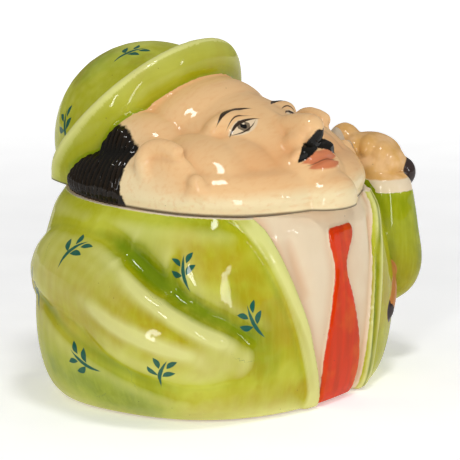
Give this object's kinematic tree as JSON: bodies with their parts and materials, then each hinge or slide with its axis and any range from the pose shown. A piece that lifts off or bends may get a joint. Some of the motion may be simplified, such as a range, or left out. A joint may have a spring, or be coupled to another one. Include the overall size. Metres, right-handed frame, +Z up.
{
  "type": "ceramic face pot",
  "caption": "Lidded ceramic pot shaped as a stout figure in a coat and tie; the head with its round hat lifts off as the lid.",
  "frame": {"origin": "middle of the pot's flat underside", "axes": "+Z up; the figure looks along -Y, its left hand is at +X"},
  "size_m": [0.1249, 0.0975, 0.1001],
  "materials": {
    "coat_glaze": "brushed lime green, cream and orange-red underglaze under a clear gloss glaze",
    "head_glaze": "brushed flesh, lime green and black underglaze under a clear gloss glaze"
  },
  "bodies": {
    "root": {"pot": "coat_glaze", "head_lid": "head_glaze"}
  },
  "joints": []
}
